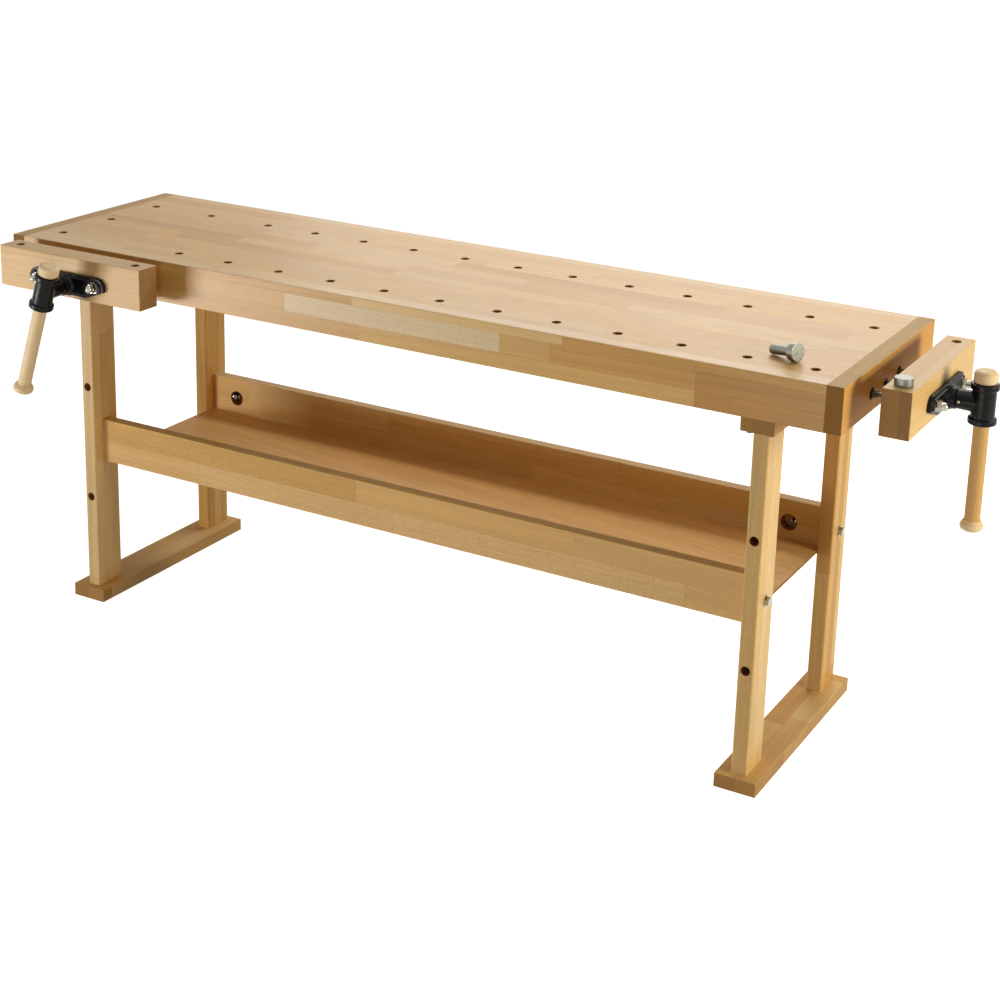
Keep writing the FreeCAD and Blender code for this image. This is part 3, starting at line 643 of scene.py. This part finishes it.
class ScrewShape:
    """Points and faces of a right-hand thread cut the length of a screw, with a plain journal
    at its outer end."""

    def __init__(self, inner_end, axis, length):
        self.inner_end = inner_end
        self.axis = axis
        self.length = length
        self.directions = frame_about(axis)
        self.points = []
        self.start = self.circle(THREAD_ROOT_RADIUS, 0.0)
        self.end = self.circle(THREAD_ROOT_RADIUS, length)
        self.faces = self.thread_faces(self.thread_rows()) + self.journal_faces()

    def point(self, radius, height, i):
        direction = around(2 * math.pi * i / THREAD_SEGMENTS, self.directions)
        self.points.append(self.inner_end + self.axis * height + radius * direction)
        return len(self.points) - 1

    def circle(self, radius, height):
        return [self.point(radius, height, i) for i in range(THREAD_SEGMENTS)]

    def thread_point(self, radius, height, i):
        """A point of the thread, or of the screw's end where the thread would run past it."""
        if height <= 0.0:
            return self.start[i]
        if height >= self.length:
            return self.end[i]
        return self.point(radius, height, i)

    def thread_rows(self):
        """Lines of points that each run once round the screw and rise by one pitch."""
        turns = int(self.length / THREAD_PITCH) + 3
        return [[self.thread_point(radius, (turn + rise + i / THREAD_SEGMENTS) * THREAD_PITCH, i)
                 for i in range(THREAD_SEGMENTS)]
                for turn in range(-1, turns) for rise, radius in THREAD_ROWS]

    def thread_faces(self, rows):
        """Faces between neighbouring rows. A row's last point joins the row one turn higher."""
        per_turn = len(THREAD_ROWS)
        faces = []
        for k in range(len(rows) - per_turn - 1):
            low = rows[k] + [rows[k + per_turn][0]]
            high = rows[k + 1] + [rows[k + 1 + per_turn][0]]
            for i in range(THREAD_SEGMENTS):
                corners = distinct([low[i], low[i + 1], high[i + 1], high[i]])
                if len(corners) > 2:
                    faces.append(corners)
        return faces

    def journal_faces(self):
        """The shoulder, the journal and its tip, and the flat inner end of the screw."""
        shoulder = self.circle(JOURNAL_RADIUS, self.length)
        tip = self.circle(JOURNAL_RADIUS, self.length + JOURNAL_LENGTH)
        faces = []
        for low, high in ((self.end, shoulder), (shoulder, tip)):
            for i in range(THREAD_SEGMENTS):
                j = (i + 1) % THREAD_SEGMENTS
                faces.append([low[i], low[j], high[j], high[i]])
        return faces + [list(reversed(self.start)), tip]


def make_lead_screw(vise, body, material):
    shape = ScrewShape(vise.inner_end, vise.outward, (vise.face - vise.inner_end).length)
    node = vise.prefix + "_lead_screw"
    name = node + "_thread"
    mesh = mesh_from(name, shape.points, shape.faces)
    place_piece(name, mesh, SCREW_SHARP_ANGLE, body, node, material)


def keep_bore(mesh, base, axis, bore):
    """Moves the points of a bore back to its true radius."""
    for vertex in mesh.vertices:
        offset = vertex.co - base
        height = offset.dot(axis)
        out = offset - axis * height
        if abs(height) < bore.length and 0.5 * bore.radius < out.length < bore.reach:
            vertex.co = base + axis * height + out * (bore.radius / out.length)


def softened(node):
    """A copy of a CAD casting's mesh, with the soft inner corners and edges that the mould leaves."""
    rough = bpy.data.objects.new(node + "_rough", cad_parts[node].data.copy())
    bpy.context.collection.objects.link(rough)
    remesh = rough.modifiers.new("skin", "REMESH")
    remesh.mode = "VOXEL"
    remesh.voxel_size = CASTING_VOXEL
    smooth = rough.modifiers.new("soften", "SMOOTH")
    smooth.factor = 0.5
    smooth.iterations = CASTING_SMOOTHING
    bpy.context.view_layer.update()
    ready = rough.evaluated_get(bpy.context.evaluated_depsgraph_get())
    mesh = bpy.data.meshes.new_from_object(ready)
    mesh.name = node + "_cast"
    bpy.data.objects.remove(rough)
    return mesh


def make_casting(node, base, axis, bore, body, material):
    mesh = softened(node)
    keep_bore(mesh, base, axis, bore)
    place_piece(node + "_cast", mesh, CASTING_SHARP_ANGLE, body, node, material)


# ---- Finishes ----

# Limits beyond the bench, for patches that reach the ends or the top of a board
PAST_BOTH_ENDS = (-1.2, 1.2)
PAST_THE_TOP = 0.9
TOP_SPECULAR = 0.30
APRON_SPECULAR = 0.34
JAW_SPECULAR = 0.26
HANDLE_SPECULAR = 0.25
APRON_ROWS = Rows(width=40 * MM, start=0.765, piece_length=0.75)
RAIL_ROWS = Rows(width=51 * MM, start=0.338, piece_length=0.6)
PEG_HOLE_HEIGHTS = (0.252, 0.522)
PEG_HOLE_REACH = 70 * MM
ROUND_HOLE_RADIUS = 9.5 * MM
JAW_DOG_HOLE_OFFSET = 165 * MM
JAW_DOG_HOLE_REACH = 1.0
POCKET_RADIUS = 18 * MM
POCKET_REACH = 24 * MM
POCKET_FROM_END = 75 * MM
# The front row of the right back leg: each piece's limits in height, and its colour
RIGHT_BACK_LEG_PIECES = (((0.302, PAST_THE_TOP), srgb(210, 158, 90)),
                         ((-0.1, 0.302), srgb(215, 173, 108)))


def dress(material, *nodes):
    for name in nodes:
        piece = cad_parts[name]
        if not piece.material_slots:
            piece.data.materials.append(material)
        for slot in piece.material_slots:
            slot.material = material


def dress_top():
    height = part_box("top_panel")[1].z
    # Painted light: the top faces of the aprons and end caps get a paler colour of their own, as lit as
    # the top
    edge = Patch(PAST_BOTH_ENDS, (height - 1.5 * MM, PAST_THE_TOP), srgb(224, 184, 122), flecks=0.0)
    right = Patch(along=(0.60, 1.0), across=(0.7, 0.845), colour=srgb(190, 139, 70), flecks=0.0)
    speckled = Patch(along=(-0.342, 0.178), across=(0.805, 0.845), colour=BEECH_SPECKLED, flecks=0.55)
    # The walls of the top's dog holes get painted shade
    dress(wood("beech_top", X, Y, TOP_BOARDS, Rows(width=45 * MM, start=-0.1592, piece_length=0.52),
               seed=3.0, flecks=0.35, roughness=0.40, specular=TOP_SPECULAR,
               shaded_walls_below=height - 0.1 * MM), "top_panel")
    dress(wood("beech_apron", X, Z, GOLD_BOARDS, APRON_ROWS, seed=11.0, roughness=0.35,
               specular=APRON_SPECULAR, patches=[speckled, right, edge]), "front_apron")
    dress(wood("beech_back_apron", X, Z, GOLD_BOARDS, APRON_ROWS, seed=13.0, roughness=0.38,
               specular=APRON_SPECULAR, patches=[edge]), "back_apron")
    dress(wood("beech_cap", Y, Z, CAP_BOARDS, Rows(width=45 * MM, start=0.774, piece_length=0.9),
               seed=15.0, specular=0.06, patches=[edge]), "left_end_cap", "right_end_cap")


def dress_rail(node, boards, seed, inner, painted_top_light):
    """A rail. Inner is the place of its inner face, where the pockets of its bolts open. Its top face gets
    a colour of its own, painted for how that face is lit.
    """
    low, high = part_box(node)
    middle = (low.z + high.z) / 2
    # The pockets of the bolts get painted shade
    pockets = [Hollow(Vector((x, inner, middle)), Y, POCKET_RADIUS, POCKET_REACH)
               for x in (low.x + POCKET_FROM_END, high.x - POCKET_FROM_END)]
    # Painted light and shade: the top face gets a colour of its own
    edge = Patch(PAST_BOTH_ENDS, (high.z - 1.0 * MM, PAST_THE_TOP), painted_top_light, flecks=0.0)
    dress(wood("beech_" + node, X, Z, boards, RAIL_ROWS, seed, specular=0.04, patches=[edge],
               shaded_hollows=pockets), node)


def dress_rails_and_shelf():
    # Painted light and shade on the top faces: the back rail's paler, as lit from behind, the front rail's
    # more saturated, so that its shaded top shows brown
    dress_rail("front_rail", FRONT_RAIL_BOARDS, 26.0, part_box("front_rail")[1].y, srgb(230, 188, 100))
    dress_rail("back_rail", BACK_RAIL_BOARDS, 25.0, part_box("back_rail")[0].y, srgb(232, 200, 150))
    dress(wood("beech_shelf", X, Y, SHELF_PLY, Rows(width=0.2, start=-0.1, piece_length=3.0), seed=25.0,
               figure=1.3), "shelf_panel")


def dress_front_leg(node, seed):
    low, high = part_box(node)
    middle = (low.x + high.x) / 2
    # The peg holes get painted shade
    pegs = [Hollow(Vector((middle, low.y, z)), Y, ROUND_HOLE_RADIUS, PEG_HOLE_REACH)
            for z in PEG_HOLE_HEIGHTS]
    rows = Rows(width=27 * MM, start=low.y, piece_length=0.9)
    dress(wood("beech_" + node, Z, Y, FRONT_LEG_BOARDS, rows, seed, roughness=0.40, specular=0.25,
               shaded_hollows=pegs), node)


def dress_back_leg(node, seed, pieces=()):
    """A back leg, with the given pieces in its front row."""
    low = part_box(node)[0]
    front_row = (low.y - 5 * MM, low.y + 4 * MM)
    patches = [Patch(along, front_row, colour, flecks=0.1) for along, colour in pieces]
    rows = Rows(width=27 * MM, start=low.y, piece_length=0.9)
    dress(wood("beech_" + node, Z, Y, GOLD_BOARDS, rows, seed, roughness=0.40, patches=patches), node)


def dress_foot_and_bar(side, foot_seed, bar_seed):
    foot = side + "_foot"
    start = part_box(foot)[0].x
    dress(wood("beech_" + foot, Y, X, GOLD_BOARDS, Rows(width=44 * MM, start=start, piece_length=0.35),
               foot_seed, end_colour=PALE_END_GRAIN), foot)
    dress(wood("beech_%s_bar" % side, Y, X, GOLD_BOARDS,
               Rows(width=34 * MM, start=start, piece_length=0.8),
               bar_seed, end_colour=PALE_END_GRAIN), side + "_top_bar")


def dress_trestles():
    dress_front_leg("front_left_leg", 35.0)
    dress_back_leg("back_left_leg", 41.0)
    dress_foot_and_bar("left", 45.0, 55.0)
    dress_front_leg("front_right_leg", 36.0)
    dress_back_leg("back_right_leg", 42.0, RIGHT_BACK_LEG_PIECES)
    dress_foot_and_bar("right", 46.0, 56.0)


def dress_jaw(vise, grain, across, boards, row_width, seed, end_colour):
    node = vise.prefix + "_jaw"
    low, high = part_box(node)
    middle = (low + high) / 2
    # The dog holes get painted shade
    dog_holes = [Hollow(middle + step * JAW_DOG_HOLE_OFFSET * grain, Z, ROUND_HOLE_RADIUS,
                        JAW_DOG_HOLE_REACH) for step in (-1, 1)]
    rows = Rows(row_width, start=low.dot(across), piece_length=1.6)
    dress(wood("beech_" + node, grain, across, boards, rows, seed, roughness=0.42,
               specular=JAW_SPECULAR, end_colour=end_colour, shaded_hollows=dog_holes), node)


def dress_jaws():
    dress_jaw(FRONT_VISE, X, Z, FRONT_JAW_BOARDS, 39 * MM, 74.0, PALE_END_GRAIN)
    dress_jaw(END_VISE, Y, X, PALE_BOARDS, 34 * MM, 72.0, END_GRAIN)


def handle_wood(name, vise, colour, seed, end_colour):
    """The plain beech of a handle, its grain along the handle."""
    return wood(name, vise.handle_axis, vise.outward, [colour], ONE_PIECE, seed, flecks=0.25,
                figure=0.4, specular=HANDLE_SPECULAR, end_colour=end_colour)


def finish_vise(vise, bar_colour, iron, plate):
    """One vise's handle, castings and steel: their materials, and the pieces that are built here."""
    prefix = vise.prefix
    side = prefix.split("_")[0]
    knob = handle_wood(prefix + "_turned_beech", vise, KNOB_WOOD, 71.0, KNOB_END_GRAIN)
    bar = handle_wood(prefix + "_bar_beech", vise, bar_colour, 73.0, bar_colour)
    screw = steel(prefix + "_dark_steel", vise.outward, SCREW_STEEL, 0.35)
    ground = steel(prefix + "_ground_steel", vise.outward, GROUND_STEEL, 0.24)
    dress(bar, prefix + "_handle_bar")
    dress(knob, prefix + "_handle_upper_knob", prefix + "_handle_lower_knob")
    dress(iron, prefix + "_hub", prefix + "_flange", prefix + "_bracket")
    dress(plate, prefix + "_cap_nuts", prefix + "_rod_washers", prefix + "_bracket_screws")
    dress(ground, prefix + "_guide_rods", prefix + "_hub_pin")
    dress(screw, prefix + "_lead_screw")
    make_knobs(vise, side + "_handle", knob)
    make_lead_screw(vise, side + "_screw", screw)
    make_casting(prefix + "_hub", vise.hub, vise.handle_axis, HANDLE_BORE, side + "_screw", iron)
    make_casting(prefix + "_flange", vise.face, vise.outward, JOURNAL_BORE, side + "_jaw", iron)


def finish_metals_and_handles():
    iron = cast_iron("black_iron")
    plate = zinc("zinc_plate")
    finish_vise(FRONT_VISE, FRONT_BAR_WOOD, iron, plate)
    finish_vise(END_VISE, END_BAR_WOOD_AND_SHADE, iron, plate)
    dress(plate, "rail_bolts", "rail_washers")
    dress(steel("plain_steel", Z, PLAIN_STEEL, 0.38), "rail_nuts", "top_screws")
    dress(steel("turned_steel", Z, LOOSE_DOG_STEEL, 0.32), "loose_dog")
    dress(steel("upright_steel", Z, STANDING_DOG_STEEL, 0.42), "standing_dog")


# ---- Stage ----

FLOOR_SIZE = 60.0
FLOOR_COLOUR = (0.64, 0.60, 0.52)
FLOOR_GLOW = 0.95
AMBIENT = 0.08
# Name, place, target, width, height, power and colour of each lamp
SOFTBOXES = (
    ("overhead", (0.0, 0.0, 2.9), (0.1, 0.0, 0.8), 1.6, 1.2, 9.0, (1.0, 0.99, 0.96)),
    ("behind_high", (0.45, 2.2, 2.75), (0.2, 0.2, 0.6), 2.4, 0.8, 43.0, (1.0, 0.98, 0.93)),
    ("behind", (-1.0, 3.0, 1.95), (-0.1, 0.0, 0.8), 2.8, 0.6, 15.0, (1.0, 0.99, 0.98)),
    ("left_low", (-2.4, -2.3, 0.30), (-0.6, -0.15, 0.7), 1.0, 0.6, 41.0, (0.98, 0.98, 1.0)),
    ("front_low", (0.6, -2.4, 0.18), (0.6, 0.0, 0.30), 1.2, 0.36, 10.0, (1.0, 0.98, 0.93)),
    ("front_high", (-1.6, -2.4, 2.4), (-0.5, 0.0, 0.6), 1.4, 1.2, 5.5, (1.0, 0.98, 0.94)),
    ("right_side", (3.4, 0.0, 1.2), (0.9, 0.0, 0.45), 0.9, 1.0, 54.0, (1.0, 0.96, 0.80)),
)


def background_ray(graph):
    """1 for rays that show the background: straight from the camera, mirrored or through glass."""
    path = graph.node("ShaderNodeLightPath")
    seen = graph.math("MAXIMUM", path.outputs["Is Camera Ray"], path.outputs["Is Glossy Ray"])
    return graph.math("MAXIMUM", seen, path.outputs["Is Transmission Ray"])


def make_floor():
    bpy.ops.mesh.primitive_plane_add(size=FLOOR_SIZE)
    floor = bpy.context.object
    floor.name = "floor"
    graph = material_graph("floor")
    glow = graph.times(background_ray(graph), FLOOR_GLOW)
    floor.data.materials.append(graph.finish({"Base Color": FLOOR_COLOUR, "Roughness": 0.9,
                                              "Specular IOR Level": 0.1,
                                              "Emission Color": (1.0, 1.0, 1.0),
                                              "Emission Strength": glow}))


def make_world():
    """White where the background shows, and otherwise a faint fill."""
    world = bpy.data.worlds.new("studio")
    bpy.context.scene.world = world
    graph = Graph(world)
    strength = graph.span(background_ray(graph), 0.0, 1.0, AMBIENT, 1.0)
    sky = graph.node("ShaderNodeBackground", {"Color": (1.0, 1.0, 1.0), "Strength": strength})
    graph.node("ShaderNodeOutputWorld", {"Surface": sky.outputs[0]})


def softbox(name, place, target, width, height, power, colour):
    data = bpy.data.lights.new(name, "AREA")
    data.shape = "RECTANGLE"
    data.size = width
    data.size_y = height
    data.energy = power
    data.color = colour
    lamp = bpy.data.objects.new(name, data)
    bpy.context.collection.objects.link(lamp)
    lamp.location = place
    lamp.rotation_mode = "QUATERNION"
    lamp.rotation_quaternion = (Vector(target) - Vector(place)).to_track_quat("-Z", "Y")


def make_lights():
    for lamp in SOFTBOXES:
        softbox(*lamp)


make_camera()
dress_top()
dress_rails_and_shelf()
dress_trestles()
dress_jaws()
finish_metals_and_handles()
make_floor()
make_world()
make_lights()
bpy.context.scene.view_settings.view_transform = "Standard"
